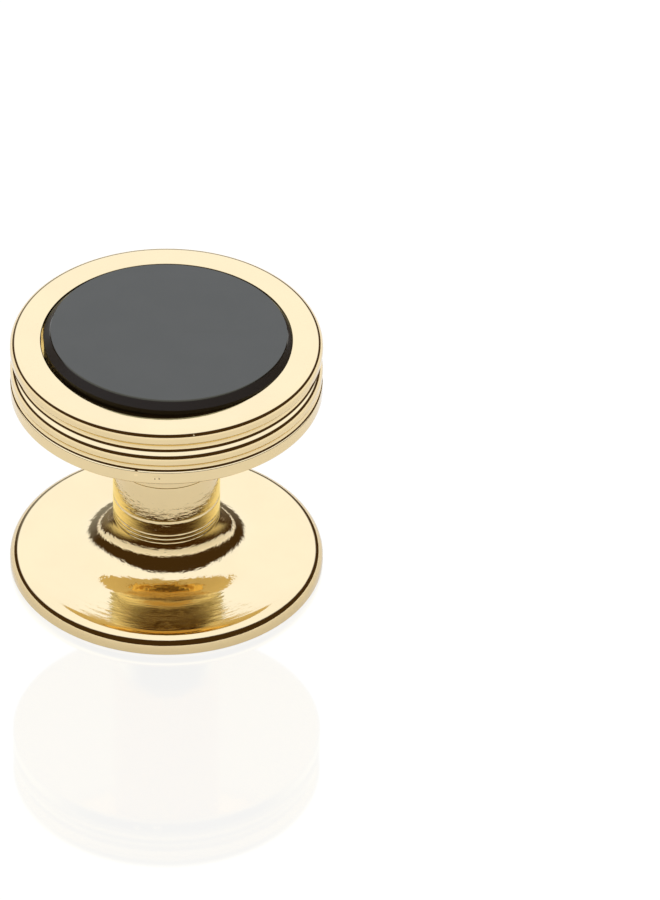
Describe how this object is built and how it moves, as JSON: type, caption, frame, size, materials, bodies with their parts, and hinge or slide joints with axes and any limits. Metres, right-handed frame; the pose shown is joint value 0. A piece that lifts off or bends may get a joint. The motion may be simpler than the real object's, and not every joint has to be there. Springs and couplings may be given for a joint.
{
  "type": "shirt stud",
  "caption": "Dress shirt stud: a ribbed gold-coloured head with a black onyx face, a plain post and a flat round back.",
  "frame": {"origin": "centre of the back's flat underside, on which the stud stands", "axes": "+Z along the post from the back to the head, +X to the right and +Y away from the viewer as it stands in the picture"},
  "size_m": [0.011, 0.011, 0.0102],
  "materials": {
    "gold_head": "polished gold plate with fine turning marks",
    "gold_back": "polished gold plate with fine turning marks",
    "onyx": "polished black onyx"
  },
  "bodies": {
    "root": {"head": "gold_head", "stone": "onyx", "back": "gold_back"}
  },
  "joints": []
}
